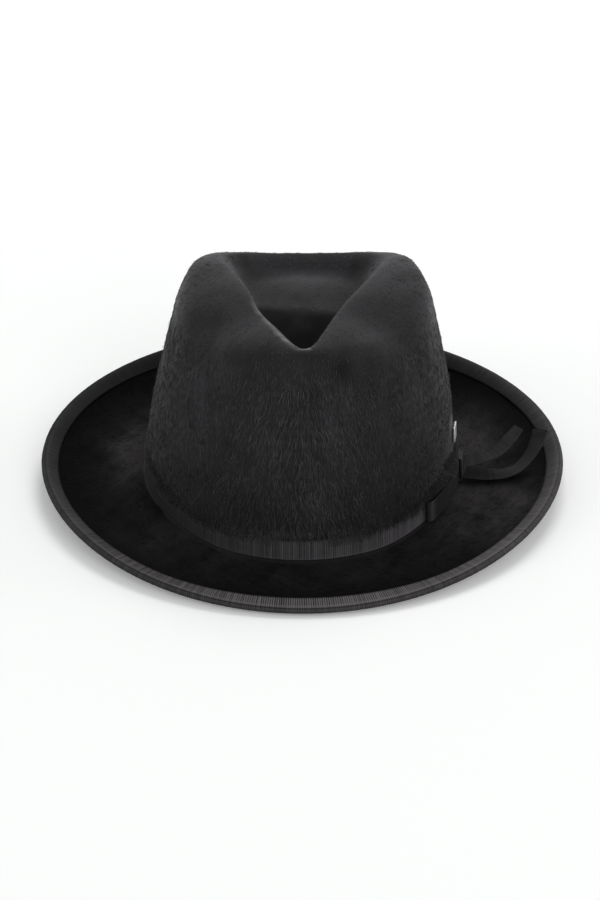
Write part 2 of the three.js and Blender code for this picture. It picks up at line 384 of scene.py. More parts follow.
@dataclass(frozen=True)
class RibbonFinish:
    """Black ribbed ribbon with a soft gloss, its threads running with its length."""

    name: str
    dark: tuple = (0.0012, 0.0011, 0.0013)
    light: tuple = (0.085, 0.079, 0.086)
    gloss: float = 0.5
    wear: float = 0.25
    sheen: float = 0.06
    shine: float = 0.35
    thread_stretch: tuple = (1.0, 7.0, 1.0)
    thread_scale: float = 2.2
    rib_stretch: tuple = (1.0, 0.02, 1.0)
    rib_scale: float = 0.42
    rib_power: float = 2.3
    patch_grain: tuple = (70.0, 70.0, 70.0)
    bump: tuple = (0.0001, 0.6)

    def material(self) -> bpy.types.Material:
        """Make the ribbon's material, whose threads follow the piece's own map in millimetres.

        Returns:
            The material.
        """
        bench = Bench.named(self.name)
        cloth = bench.node("ShaderNodeUVMap", {"uv_map": "cloth"})
        threads = bench.node("ShaderNodeMapping", None, {"Vector": cloth, "Scale": self.thread_stretch})
        thread = bench.noise(threads, self.thread_scale, 3.0, 0.6)
        ribs = bench.node("ShaderNodeMapping", None, {"Vector": cloth, "Scale": self.rib_stretch})
        rib = bench.noise(ribs, self.rib_scale, 2.0, 0.7).between(0.3, 0.7)
        patch = bench.grain(self.patch_grain)
        crest = bench.attribute("crest")
        # Darker grooves between the ribs are painted shade, on top of the ribs' own shape.
        tone = crest ** self.rib_power * (0.75 + 0.5 * rib) + crest * thread * 0.2
        tone = (tone + (patch - 0.5) * self.wear * crest).maths("ADD", 0.0, clamp=True)
        return bench.finish({
            "Base Color": bench.mix(tone, self.dark, self.light),
            "Roughness": self.gloss + 0.18 * thread,
            "Specular IOR Level": self.shine,
            "Sheen Weight": self.sheen,
            "Sheen Roughness": 0.35,
            "Normal": bench.bump(thread, *self.bump),
        })


@dataclass(frozen=True)
class PlateFinish:
    """Plain polished metal with a faint upright grain."""

    pale: tuple = (0.86, 0.86, 0.88)
    grey: tuple = (0.62, 0.62, 0.65)
    brush_grain: tuple = (900.0, 9000.0, 500.0)
    haze_grain: tuple = (260.0, 260.0, 260.0)
    bump: tuple = (0.00003, 0.4)

    def material(self) -> bpy.types.Material:
        """Make the plate's material.

        Returns:
            The material.
        """
        bench = Bench.named("plate_metal")
        grain = bench.grain(self.brush_grain)
        haze = bench.grain(self.haze_grain, 2.0)
        return bench.finish({
            "Base Color": bench.mix(haze.between(0.3, 0.75), self.pale, self.grey),
            "Metallic": 1.0,
            "Roughness": 0.4 + 0.14 * grain,
            "Normal": bench.bump(grain, *self.bump),
        })


@dataclass(frozen=True)
class FloorFinish:
    """A plain pale floor with the least unevenness."""

    pale: tuple = (0.95, 0.955, 0.95)
    dim: tuple = (0.93, 0.935, 0.93)
    glow_colour: tuple = (0.98, 1.0, 0.99, 1.0)
    glow: float = 0.15
    cloud_grain: tuple = (3.0, 3.0, 3.0)

    def material(self) -> bpy.types.Material:
        """Make the floor's material.

        Returns:
            The material.
        """
        bench = Bench.named("floor_pale")
        cloud = bench.grain(self.cloud_grain)
        return bench.finish({
            "Base Color": bench.mix(cloud, self.dim, self.pale),
            "Roughness": 0.7 + 0.1 * cloud,
            "Specular IOR Level": 0.2,
            "Emission Color": self.glow_colour,
            "Emission Strength": self.glow,
        })


# Mesh helpers


def placed(name: str, data: bpy.types.ID) -> bpy.types.Object:
    """Make a new object of the scene.

    Args:
        name: The object's name.
        data: Its mesh, light or camera.

    Returns:
        The object.
    """
    thing = bpy.data.objects.new(name, data)
    bpy.context.scene.collection.objects.link(thing)
    return thing


def register(name: str, mesh: bpy.types.Mesh, material: bpy.types.Material) -> bpy.types.Object:
    """Make a finished mesh a piece of the hat.

    Args:
        name: The piece's name.
        mesh: Its mesh, already in place.
        material: What it is made of.

    Returns:
        The new object.
    """
    piece = placed(name, mesh)
    mesh.materials.clear()
    mesh.materials.append(material)
    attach(piece, "root")
    LOG.info("%s: %d faces", name, len(mesh.polygons))
    return piece


def settle(bm: bmesh.types.BMesh, name: str) -> bpy.types.Mesh:
    """Turn a closed shape's faces outwards, smooth its small faces and make it a mesh.

    Args:
        bm: The shape, which is freed.
        name: The mesh's name.

    Returns:
        The mesh.
    """
    bmesh.ops.recalc_face_normals(bm, faces=bm.faces)
    for face in bm.faces:
        face.smooth = len(face.verts) <= 4
    mesh = bpy.data.meshes.new(name)
    bm.to_mesh(mesh)
    bm.free()
    return mesh


def woven_mesh(name: str, rows: Array, crest: Array, scale: tuple[float, float], round_hat: bool) -> bpy.types.Mesh:
    """Lay a flat grid over rows of points and weld its seams into a closed ribbon.

    Args:
        name: The mesh's name.
        rows: Points by place along the ribbon and place round its section, in millimetres.
        crest: How high each point stands on its rib, 0 to 1, in the same order.
        scale: The ribbon's length and the way round its section, in millimetres.
        round_hat: Whether the ribbon's end meets its start.

    Returns:
        The mesh, in metres, with a cloth map and a crest attribute.
    """
    long, across = rows.shape[0], rows.shape[1]
    bm = bmesh.new()
    bmesh.ops.create_grid(bm, x_segments=long - 1, y_segments=across - 1, size=1.0)
    layer = bm.loops.layers.uv.new("cloth")
    height = bm.verts.layers.float.new("crest")
    for face in bm.faces:
        for loop in face.loops:
            co = loop.vert.co
            loop[layer].uv = ((co.x + 1) / 2 * scale[0], (co.y + 1) / 2 * scale[1])
    for vert in bm.verts:
        i = round((vert.co.x + 1) / 2 * (long - 1))
        j = round((vert.co.y + 1) / 2 * (across - 1))
        vert.co = Vector(rows[i, j]) * MM
        vert[height] = crest[i, j]
    bmesh.ops.remove_doubles(bm, verts=bm.verts, dist=WELD)
    if not round_hat:
        bmesh.ops.holes_fill(bm, edges=[edge for edge in bm.edges if edge.is_boundary], sides=0)
    return settle(bm, name)


@dataclass
class Strands:
    """Hairs or thread ends that are made together as one mesh.

    Each has a root, a way along, a way out of its surface, a length, a width, a rise at its bend and a tone. Its
    tip droops to a share of that rise.
    """

    roots: Array
    along: Array
    lift: Array
    length: Array
    width: Array
    rise: Array
    tone: Array
    droop: float | Array = 0.55
    sunk: float = 0.12
    bend_share: float = 0.42
    tip_share: float = 0.97
    waist: float = 0.8

    def mesh(self, name: str) -> bpy.types.Mesh:
        """Join closed tapering three-sided hairs, each rooted in its surface and bent over once.

        Args:
            name: The mesh's name.

        Returns:
            The mesh, in metres, with a tone attribute.
        """
        count = len(self.roots)
        side = unit(np.cross(self.lift, self.along))
        half = (self.width / 2)[:, None]
        corners = (side * half, self.lift * half * 1.1, -side * half)
        length, rise = self.length[:, None], self.rise[:, None]
        fall = np.broadcast_to(self.droop, count)[:, None]
        start = self.roots - self.sunk * self.lift
        bend = self.roots + self.along * length * self.bend_share + self.lift * rise
        tip = self.roots + self.along * length * self.tip_share + self.lift * rise * fall
        points = [start + corner for corner in corners] + [bend + self.waist * corner for corner in corners] + [tip]
        verts = np.stack(points, axis=1).reshape(-1, 3) * MM
        faces = ((0, 1, 4, 3), (1, 2, 5, 4), (2, 0, 3, 5), (3, 4, 6), (4, 5, 6), (5, 3, 6), (0, 2, 1))
        pattern = np.array([corner for face in faces for corner in face])
        starts = np.cumsum([0] + [len(face) for face in faces[:-1]])
        loops = (np.arange(count)[:, None] * len(points) + pattern).ravel()
        offsets = (np.arange(count)[:, None] * len(pattern) + starts).ravel()
        mesh = bpy.data.meshes.new(name)
        mesh.vertices.add(len(verts))
        mesh.vertices.foreach_set("co", verts.astype(np.float32).ravel())
        mesh.loops.add(len(loops))
        mesh.loops.foreach_set("vertex_index", loops.astype(np.int32))
        mesh.polygons.add(len(offsets))
        mesh.polygons.foreach_set("loop_start", offsets.astype(np.int32))
        mesh.polygons.foreach_set("use_smooth", np.ones(len(offsets), dtype=bool))
        mesh.update(calc_edges=True)
        tone = mesh.attributes.new("tone", "FLOAT", "POINT")
        tone.data.foreach_set("value", np.repeat(self.tone, len(points)).astype(np.float32))
        mesh.validate()
        return mesh


# The hat's form


@dataclass(frozen=True)
class HatForm:
    """The felt's outer face at the band and over the brim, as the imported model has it.

    Edge heights are the front's, the side's and the back's. The band's top and the low wall are rows for ring().
    """

    felt: float = 2.0
    head_half_width: float = 85.8
    head_half_length: float = 103.8
    head_shift: float = -0.9
    root_radius: float = 2.0
    side_lift: float = 5.4
    rest_arc: float = 0.45
    brim_half_width: float = 142.4
    brim_front: float = -157.9
    brim_back: float = 160.9
    edge_heights: tuple = (3.2, 14.0, 15.0)
    edge_power: float = 1.9
    flat_share: float = 0.2
    curl_power: float = 3.5
    front_arch: float = 26.0
    band_top: tuple = (85.3, -102.6, 103.0, 22.4, 17.0, 17.0, -0.9)
    low_wall: tuple = (84.1, -99.3, 101.3, 36.0, 32.0, 32.0, -0.7)
    sag_power: float = 3.0
    forward: float = -1.5
    columns: int = 72
    nudge: float = 0.01
    inward: float = 0.05

    @property
    def brim_half_length(self) -> float:
        """Return half the length of the brim's felt."""
        return (self.brim_back - self.brim_front) / 2

    def turn(self, column: Array | float) -> Array:
        """Return the angle of a column, counted from the bow's side towards the back."""
        return np.asarray(column) * (TURN / self.columns)

    def lift(self, sideways: Array) -> Array:
        """Return how far the brim's root rises, by how far it faces sideways, -1 to 1."""
        return self.side_lift * ease(self.rest_arc, 1.0, np.abs(sideways))

    def between(self, s: Array, ends: tuple, power: float) -> Array:
        """Return a value that runs from the front's to the side's to the back's."""
        front, side, back = ends
        return side + (np.where(s < 0, front, back) - side) * np.abs(s) ** power

    def root(self, angle: Array, out: float, up: float) -> Array:
        """Give points over the brim's root.

        Args:
            angle: Angles round the hat.
            out: How far out from the root they lie.
            up: How far above it.

        Returns:
            One point an angle.
        """
        c, s = np.cos(angle), np.sin(angle)
        x = self.head_shift + (self.head_half_width + out) * c
        y = (self.head_half_length + out) * s + self.forward
        return np.stack([x, y, self.felt + self.lift(c) + up], axis=-1)

    def ring(self, row: tuple, angle: Array) -> Array:
        """Give points of one of the crown's low rings.

        Args:
            row: The ring's half width, front, back, heights at side, front and back, and shift.
            angle: Angles round the hat.

        Returns:
            One point an angle.
        """
        wide, front, back, side_z, front_z, back_z, shift = row
        c, s = np.cos(angle), np.sin(angle)
        y = (front + back) / 2 + (back - front) / 2 * s + self.forward
        return np.stack([shift + wide * c, y, self.between(s, (front_z, side_z, back_z), self.sag_power)], axis=-1)

    def brim(self, angle: Array, share: float) -> Array:
        """Give points of the brim's top face.

        Args:
            angle: Angles round the hat.
            share: How far they lie from the root, 0, to the edge, 1.

        Returns:
            One point an angle.
        """
        c, s = np.cos(angle), np.sin(angle)
        root = self.root(angle, self.root_radius, 0.0)
        middle = (self.brim_front + self.brim_back) / 2 + self.forward
        edge = np.stack([self.brim_half_width * c, middle + self.brim_half_length * s, 0 * c], axis=-1)
        point = root + (edge - root) * share
        curl = max(0.0, (share - self.flat_share) / (1 - self.flat_share))
        top = self.between(s, self.edge_heights, self.edge_power) + self.felt / 2
        arch = self.front_arch * np.maximum(0, -s) ** 2
        point[:, 2] = root[:, 2] + (top - root[:, 2]) * curl ** self.curl_power + arch * curl ** 2 * (1 - curl)
        return point

    def brim_frame(self, angle: Array, share: float) -> tuple[Array, Array, Array]:
        """Give the brim's top face at one share of its width.

        Args:
            angle: Angles round the hat.
            share: How far out from the root.

        Returns:
            The points, the way up from the face and the way out along it.
        """
        point = self.brim(angle, share)
        round_way = self.brim(angle + self.nudge, share) - self.brim(angle - self.nudge, share)
        out = unit(point - self.brim(angle, share - self.inward))
        return point, unit(np.cross(out, round_way)), out

    def wall(self, angle: Array) -> tuple[Array, Array, Array]:
        """Give the crown's wall at the band.

        Args:
            angle: Angles round the hat.

        Returns:
            The wall's foot, the way up it and the way out of it.
        """
        foot = self.root(angle, 0.0, self.root_radius)
        up = unit(self.ring(self.band_top, angle) - foot)
        round_way = self.root(angle + self.nudge, 0.0, self.root_radius) - foot
        return foot, up, unit(np.cross(round_way, up))

    def on_wall(self, angle: Array, away: Array | float, rise: Array | float) -> Array:
        """Give points beside the crown's wall.

        Args:
            angle: Angles round the hat.
            away: How far away from the wall they lie.
            rise: How far up it from the brim.

        Returns:
            One point an angle.
        """
        foot, up, out = self.wall(angle)
        rise, away = np.broadcast_to(rise, angle.shape), np.broadcast_to(away, angle.shape)
        return foot + up * (rise - self.root_radius)[:, None] + out * away[:, None]


# The ribbons


@dataclass(frozen=True)
class Weave:
    """A ribbed ribbon's section: its thickness, its ribs and its firmer edges.

    A share of the grooves between its ribs is deep, the others are faint, and all fade in and out by stretches of
    so many ribs.
    """

    pitch: float = 1.2
    depth: float = 0.26
    thick: float = 0.62
    per_rib: int = 3
    stretch: int = 14
    low_edge: float = 1.0
    high_edge: float = 0.2
    often: float = 0.4
    deep_groove: tuple = (0.85, 1.0)
    faint_groove: tuple = (0.3, 0.6)
    fading: tuple = (0.5, 1.0)
    heights: tuple = (0.72, 1.0)

    @property
    def step(self) -> float:
        """Return the distance between places along the ribbon."""
        return self.pitch / self.per_rib

    def shares(self, path: Callable[[Array], Array]) -> Array:
        """Return the places along a path that the ribs need, from 0 to 1."""
        return even_shares(path, self.step, self.per_rib)

    def length(self, shares: Array) -> float:
        """Return the length of ribbon that those places take."""
        return self.step * (len(shares) - 1)

    def crests(self, count: int, often: float) -> Array:
        """Give each place's height on its rib.

        Args:
            count: How many places, a third of a rib apart.
            often: The share of the grooves between the ribs that are deep.

        Returns:
            One height a place, 0 to 1.
        """
        ribs = max((count - 1) // self.per_rib, 1)
        rng = np.random.default_rng(ribs)
        chosen = rng.random(ribs) < often
        groove = np.where(chosen, rng.uniform(*self.deep_groove, ribs), rng.uniform(*self.faint_groove, ribs))
        stretch = np.arange(0, ribs + self.stretch, self.stretch)
        groove *= np.interp(np.arange(ribs), stretch, rng.uniform(*self.fading, len(stretch)))
        height = rng.uniform(*self.heights, ribs)
        place = np.arange(count)
        rib = place // self.per_rib % ribs
        return height[rib] * (1 - (place % self.per_rib == 0) * groove[rib])

    def section(self) -> tuple[Array, Array, Array]:
        """Give the ribbon's section as a closed row of points.

        Returns:
            Each point's place across, -1 to 1, its place through the thickness, 0 to 1, and its share of the ribs.
        """
        across = [-1, -0.95, -0.88, -0.8, -0.3, 0.3, 0.8, 0.88, 0.95, 1, 0.95, 0, -0.95, -1]
        depth = [0.5, 1.0, 1.05, 0.82, 0.82, 0.82, 0.82, 1.05, 1.0, 0.5, 0.0, 0.05, 0.0, 0.5]
        ribs = [0, 0.3, 0.35, 1, 1, 1, 1, 0.35, 0.3, 0, 0, 0.5, 0, 0]
        return np.array(across, float), np.array(depth), np.array(ribs, float)

    def sweep(self, middle: Array, across: Array, face: Array, width: float) -> tuple[Array, Array]:
        """Sweep the section along a path.

        Args:
            middle: The middle of the ribbon's inner face, a point for each place.
            across: The way across the ribbon at each place.
            face: The way out of its face at each place.
            width: The ribbon's width.

        Returns:
            The ribbon's points by place and round the section, and each point's height on its rib.
        """
        side, depth, ribs = self.section()
        crest = self.crests(len(middle), self.often)[:, None] * ribs[None, :]
        out = self.thick * depth[None, :] + self.depth * (crest - 0.5 * ribs[None, :])
        rows = middle[:, None] + across[:, None] * (side * width / 2)[None, :, None] + face[:, None] * out[..., None]
        edge = np.where(side < 0, self.low_edge, self.high_edge)
        return rows, crest + (edge * (1 - ribs))[None, :]


@dataclass
class Ribbons:
    """The ribbons round the hat and at its side.

    Painted side light holds where the ribbon is painted palest, in degrees from the bow's side towards the front,
    and a gain: painted light on the side towards the lamps and painted shade away from them. The ribs are clear at
    the front, from a least share at the sides. The keeper's bends hold how far they lie from the wall and past the
    band's edge. The rows of the binding hold their share of its width, of its thickness and of the ribs. The edge's
    light and shade holds an angle round the edge and a tone: painted light on the top of the fold and painted shade
    below it. Tails hold the points of their middle line and its roll in degrees, from the keeper outwards.
    """

    form: HatForm
    weave: Weave = field(default_factory=Weave)
    gap: float = 0.3
    width: float = 11.4
    round_share: float = 2.1
    rise: float = 1.6
    clear_turn: tuple = (0.35, 0.9)
    clear_least: float = 0.3
    clear_dim: float = 0.16
    # Painted light on the side of the band towards the lamps, painted shade away from them.
    band_side_light: tuple = (18, 0.48)
    keeper_columns: tuple = (-0.87, -2.2)
    keeper_bends: tuple = ((1.2, 0.75), (2.4, 0.75), (3.7, 0.6), (4.4, -0.3), (4.5, -2.0))
    keeper_front: float = 4.55
    loop_columns: tuple = (-0.5, -7.6)
    loop_room: float = 1.1
    loop_space: float = 0.55
    loop_swell: float = 1.4
    loop_nose: float = 0.25
    # The loop's tone and the tone of the painted highlight on its front fold.
    loop_fold_light: tuple = (0.66, 1.25)
    leg_share: float = 0.47
    turn_share: float = 0.06
    fold_share: float = 0.53
    fold_reach: float = 0.018
    swell_share: tuple = (0.35, 0.9)
    binding_share: float = 0.88
    binding_thick: float = 0.85
    binding_round: float = 34.0
    binding_often: float = 0.9
    # Painted light on the side of the binding towards the lamps, painted shade away from them.
    binding_side_light: tuple = (66, 0.36)
    binding_rows: tuple = (
        (0.0, 0.55, 0.0), (0.05, 1.02, 0.35), (0.11, 1.05, 0.4), (0.2, 0.9, 1.0),
        (0.5, 0.92, 1.0), (0.82, 0.95, 1.0), (0.93, 1.0, 0.35), (1.0, 1.0, 0.2),
    )
    inner_plain: float = 0.35
    outer_plain: float = 0.85
    # Painted shade on the binding's inner part towards the back of the hat.
    inner_shade_at_back: float = 0.75
    # Painted light on the top of the fold round the edge and painted shade below it.
    edge_light_and_shade: tuple = ((78, 0.9), (60, 0.4), (42, 0.64), (5, 0.56), (-28, 0.31), (-60, 0.17))
    back_tone: float = 0.95
    # Painted light: the tails' tone by the keeper and at their ends.
    tail_end_light: tuple = (0.74, 1.15)
    tail_roll: float = 2.5
    tail_waves: float = 9.0
    fray_count: int = 90
    fray_spread: float = 0.16
    upper_tail: tuple = (
        (90.3, -13.8, 17.0, 7), (94.5, -13.7, 17.6, 6), (98.6, -13.1, 18.6, 4), (105.3, -11.4, 20.4, 0),
        (110.3, -9.2, 23.2, -4), (115.0, -6.6, 27.6, -9), (117.8, -4.8, 30.2, -13), (119.9, -3.4, 32.8, -16),
    )
    lower_tail: tuple = (
        (90.3, -14.8, 10.9, 12), (95.0, -15.7, 10.8, 12), (100.0, -16.3, 10.5, 9), (105.2, -16.1, 10.3, 4),
        (110.2, -15.0, 9.9, -2), (116.6, -12.9, 10.6, -7), (121.4, -10.7, 13.0, -10), (125.8, -8.0, 17.2, -12),
        (128.8, -5.5, 21.7, -16), (130.8, -3.0, 25.4, -20), (132.1, -0.8, 29.6, -24),
    )

    def plainer(self, angle: Array, crest: Array) -> Array:
        """Make the ribs' tones clear at the front of the hat and faint at its sides and back.

        Args:
            angle: Angles round the hat.
            crest: Heights on the ribs, by angle and perhaps round the section.

        Returns:
            The tones, in the same order.
        """
        clear = self.clear_least + (1 - self.clear_least) * ease(*self.clear_turn, -np.sin(angle))
        clear = clear if crest.ndim == 1 else clear[:, None]
        return 1 - (1 - crest) * clear - self.clear_dim * (1 - clear)

    @staticmethod
    def painted_side_light(angle: Array, turn: float, gain: float) -> Array:
        """Return the painted side light at each angle: palest at a turn from the bow's side to the front, darker
        away.
        """
        return 1 - gain * (0.5 - np.cos(angle + math.radians(turn)))

    def ribbon(
        self, name: str, swept: tuple[Array, Array], length: float, material: bpy.types.Material,
        round_hat: bool = False,
    ) -> bpy.types.Object:
        """Make a piece of a swept ribbon.

        Args:
            name: The piece's name.
            swept: Its points and the heights on its ribs.
            length: Its length.
            material: Its finish.
            round_hat: Whether its end meets its start.

        Returns:
            The piece.
        """
        mesh = woven_mesh(name, *swept, (length, self.round_share * self.width), round_hat)
        return register(name, mesh, material)

    def band(self, material: bpy.types.Material) -> bpy.types.Object:
        """Make the ribbon round the foot of the crown.

        Args:
            material: Its finish.

        Returns:
            The piece.
        """
        form, weave, rise = self.form, self.weave, self.rise + self.width / 2
        shares = weave.shares(lambda t: form.on_wall(TURN * t, self.gap, rise))
        angle = TURN * shares
        _, up, out = form.wall(angle)
        rows, crest = weave.sweep(form.on_wall(angle, self.gap, rise), up, out, self.width)
        # Painted side light on the band's ribs.
        swept = rows, self.plainer(angle, crest) * self.painted_side_light(angle, *self.band_side_light)[:, None]
        piece = self.ribbon("band_ribbon", swept, weave.length(shares), material, round_hat=True)
        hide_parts("hat_band")
        return piece

    def binding(self, material: bpy.types.Material) -> bpy.types.Object:
        """Make the ribbon folded over the brim's edge.

        Args:
            material: Its finish.

        Returns:
            The piece.
        """
        form, weave = self.form, self.weave
        shares = weave.shares(lambda t: form.brim(TURN * t, 1.0))
        angle = TURN * shares
        crest = weave.crests(len(shares), self.binding_often)
        tint = self.plainer(angle, crest)
        behind = 0.5 + 0.5 * np.sin(angle)
        point, up, out = form.brim_frame(angle, 1.0)
        middle = point - up * form.felt / 2

        def face(side: int) -> list[tuple[Array, Array]]:
            """Make the rows of one face, from the inner edge outwards.

            Args:
                side: 1 for the top face and -1 for the underside.

            Returns:
                The points and the tones of each row.
            """
            found = []
            for across, thick, rib in self.binding_rows:
                share = self.binding_share + (1 - self.binding_share) * across
                base, normal, _ = form.brim_frame(angle, share)
                away = self.gap + self.binding_thick * thick + weave.depth * rib * (crest - 0.5)
                away = away if side > 0 else -form.felt - away
                plain = self.inner_plain if across < 0.5 else self.outer_plain
                inward = (1 - share) / (1 - self.binding_share)
                # Painted shade on the inner part of the binding towards the back.
                painted_light = 1 - self.inner_shade_at_back * behind * inward
                found.append((base + normal * away[:, None], (tint * rib + plain * (1 - rib)) * painted_light))
            return found

        def inner(share: float, away: float) -> tuple[Array, Array]:
            """Return a row of the ribbon's hidden face."""
            base, normal, _ = form.brim_frame(angle, share)
            return base + normal * away, 0 * crest

        rows = face(1)
        reach = form.felt / 2 + (self.gap + self.binding_thick) + weave.depth * (crest - 0.5)
        # Painted light on the top of the fold and painted shade below it, evening out towards the back.
        for turn, tone in self.edge_light_and_shade:
            way = out * math.cos(math.radians(turn)) + up * math.sin(math.radians(turn))
            tones = (0.5 + 0.5 * tint) * (tone + (self.back_tone - tone) * behind)
            rows.append((middle + way * reach[:, None], tones))
        rows += reversed(face(-1))
        under = -form.felt - self.gap
        rows += [inner(self.binding_share, under), inner(1.0, under)]
        rows.append((middle + out * (form.felt / 2 + self.gap), 0 * crest))
        rows += [inner(1.0, self.gap), inner(self.binding_share, self.gap), rows[0]]
        # Painted side light on the whole binding.
        heights = np.stack([row[1] for row in rows], axis=1) * self.painted_side_light(angle, *self.binding_side_light)[:, None]
        points = np.stack([row[0] for row in rows], axis=1)
        mesh = woven_mesh("edge_binding", points, heights, (weave.length(shares), self.binding_round), True)
        piece = register("edge_binding", mesh, material)
        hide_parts("brim_binding")
        return piece

    def loop_path(self, shares: Array) -> tuple[Array, Array]:
        """Give the bow loop's route over the band.

        Args:
            shares: Places from its start under the keeper, round the front fold, back to the keeper.

        Returns:
            The column and the distance away from the wall at each place.
        """
        near_column, far_column = self.loop_columns
        inside = 2 * self.gap + self.loop_room
        outside = inside + self.weave.thick + self.loop_space
        leg = np.clip(np.where(shares < 0.5, shares, 1 - shares) / self.leg_share, 0, 1)
        swell = self.loop_swell * ease(*self.swell_share, leg)
        fold = np.clip((shares - self.leg_share) / self.turn_share, 0, 1)
        nose = self.loop_nose * np.sin(math.pi * fold)
        away = np.where(shares < 0.5, inside, outside + swell)
        full = outside + self.loop_swell - inside
        away = np.where((fold > 0) & (fold < 1), inside + full * (0.5 - 0.5 * np.cos(math.pi * fold)), away)
        return near_column + (far_column - near_column) * leg - nose, away

    def loop(self, material: bpy.types.Material) -> bpy.types.Object:
        """Make the ribbon folded back on itself over the band.

        Args:
            material: Its finish.

        Returns:
            The piece.
        """
        form, weave, rise = self.form, self.weave, self.rise + self.width / 2

        def path(shares: Array) -> Array:
            """Return the middle of the ribbon at these shares."""
            column, away = self.loop_path(shares)
            return form.on_wall(form.turn(column), away, rise)

        shares = weave.shares(path)
        middle = path(shares)
        _, up, _ = form.wall(form.turn(self.loop_path(shares)[0]))
        along = unit(np.gradient(middle, axis=0))
        rows, crest = weave.sweep(middle, up, unit(np.cross(along, up)), self.width)
        # Painted highlight on the loop's front fold.
        plain, painted_light = self.loop_fold_light
        nose = np.exp(-(((shares - self.fold_share) / self.fold_reach) ** 2))
        swept = rows, (0.5 + 0.5 * crest) * (plain + (painted_light - plain) * nose)[:, None]
        length = weave.length(shares)
        piece = self.ribbon("bow_fold", swept, length, material)
        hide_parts("bow_loop")
        self.width * MM
        return piece

    def keeper(self, material: bpy.types.Material) -> bpy.types.Object:
        """Make the short strap over the band and the loop.

        Args:
            material: Its finish.

        Returns:
            The piece.
        """
        form, weave = self.form, self.weave
        low, high = self.rise, self.rise + self.width
        above = [(away, high + past) for away, past in self.keeper_bends]
        below = [(away, low - past) for away, past in reversed(self.keeper_bends)]
        bends = np.array([*above, (self.keeper_front, (low + high) / 2), *below])
        foot, up, out = form.wall(np.array([form.turn(sum(self.keeper_columns) / 2)]))

        def path(shares: Array) -> Array:
            """Return the strap's middle at these shares."""
            bend = smooth_curve(bends, shares)
            return foot + up * (bend[:, 1:] - form.root_radius) + out * bend[:, :1]

        shares = weave.shares(path)
        middle = path(shares)
        edges = form.root(form.turn(np.array(self.keeper_columns)), 0.0, form.root_radius)
        across = np.broadcast_to(unit(edges[0] - edges[1]), middle.shape)
        face = unit(np.cross(across, unit(np.gradient(middle, axis=0))))
        face = face * np.sign(np.sum(face[len(face) // 2] * out[0]))
        swept = weave.sweep(middle, across, face, float(np.linalg.norm(edges[0] - edges[1])))
        piece = self.ribbon("keeper_strap", swept, weave.length(shares), material)
        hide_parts("bow_keeper")
        return piece

    def tail(self, name: str, node: str, stations: tuple, material: bpy.types.Material) -> bpy.types.Object:
        """Make one loose end of ribbon, with its cut end frayed.

        Args:
            name: The piece's name.
            node: The model's node that it stands for.
            stations: Its middle line and its roll in degrees, from the keeper outwards.
            material: Its finish.

        Returns:
            The piece.
        """
        weave = self.weave
        table = np.array(stations, float) + np.array([0, self.form.forward, 0, 0])

        def path(shares: Array) -> Array:
            """Return the middle line at these shares."""
            return smooth_curve(table[:, :3], shares)

        shares = weave.shares(path)
        middle = path(shares)
        waver = self.tail_roll * np.sin(self.tail_waves * shares + len(stations))
        roll = np.radians(smooth_curve(table[:, 3:], shares)[:, 0] + waver)
        along = unit(np.gradient(middle, axis=0))
        level = unit(np.cross(np.array([0.0, 0.0, 1.0]), along))
        across = level * np.cos(roll)[:, None] + np.cross(along, level) * np.sin(roll)[:, None]
        face = unit(np.cross(across, along))
        face = face * np.where(face[:, 2:] < 0, -1.0, 1.0)
        rows, crest = weave.sweep(middle - face * weave.thick / 2, across, face, self.width)
        # Painted light: the tails are painted paler towards their ends.
        low, high = self.tail_end_light
        swept = rows, (0.6 + 0.4 * crest) * (low + (high - low) * ease(0.1, 0.8, shares))[:, None]
        length = weave.length(shares)
        piece = self.ribbon(name, swept, length, material)
        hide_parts(node)
        fringe = self.fray(middle[-1], along[-1], across[-1], face[-1], len(stations))
        threads = register(name + "_fray", fringe.mesh(name + "_fray"), material)
        self.width * MM
        return piece

    def fray(self, end: Array, along: Array, across: Array, face: Array, seed: int) -> Strands:
        """Make the loose threads of a cut end.

        Args:
            end: The middle of the cut.
            along: The way out of it.
            across: The way across the ribbon.
            face: The way out of its face.
            seed: Picks the threads.

        Returns:
            The threads.
        """
        rng = np.random.default_rng(seed)
        count, spread = self.fray_count, self.fray_spread
        spot = rng.uniform(-0.97, 0.97, count)[:, None] * across * self.width / 2
        spot = spot + face * rng.uniform(-0.2, 0.2, count)[:, None] - along * 0.4
        way = unit(along + rng.normal(0, spread, (count, 1)) * across + rng.normal(0, spread, (count, 1)) * face)
        lift = unit(np.cross(way, np.broadcast_to(across, way.shape)))
        return Strands(
            end + spot, way, lift, rng.uniform(0.7, 2.2, count), rng.uniform(0.12, 0.22, count),
            rng.normal(0, 0.12, count), rng.uniform(0.3, 1, count),
        )


# The metal plate


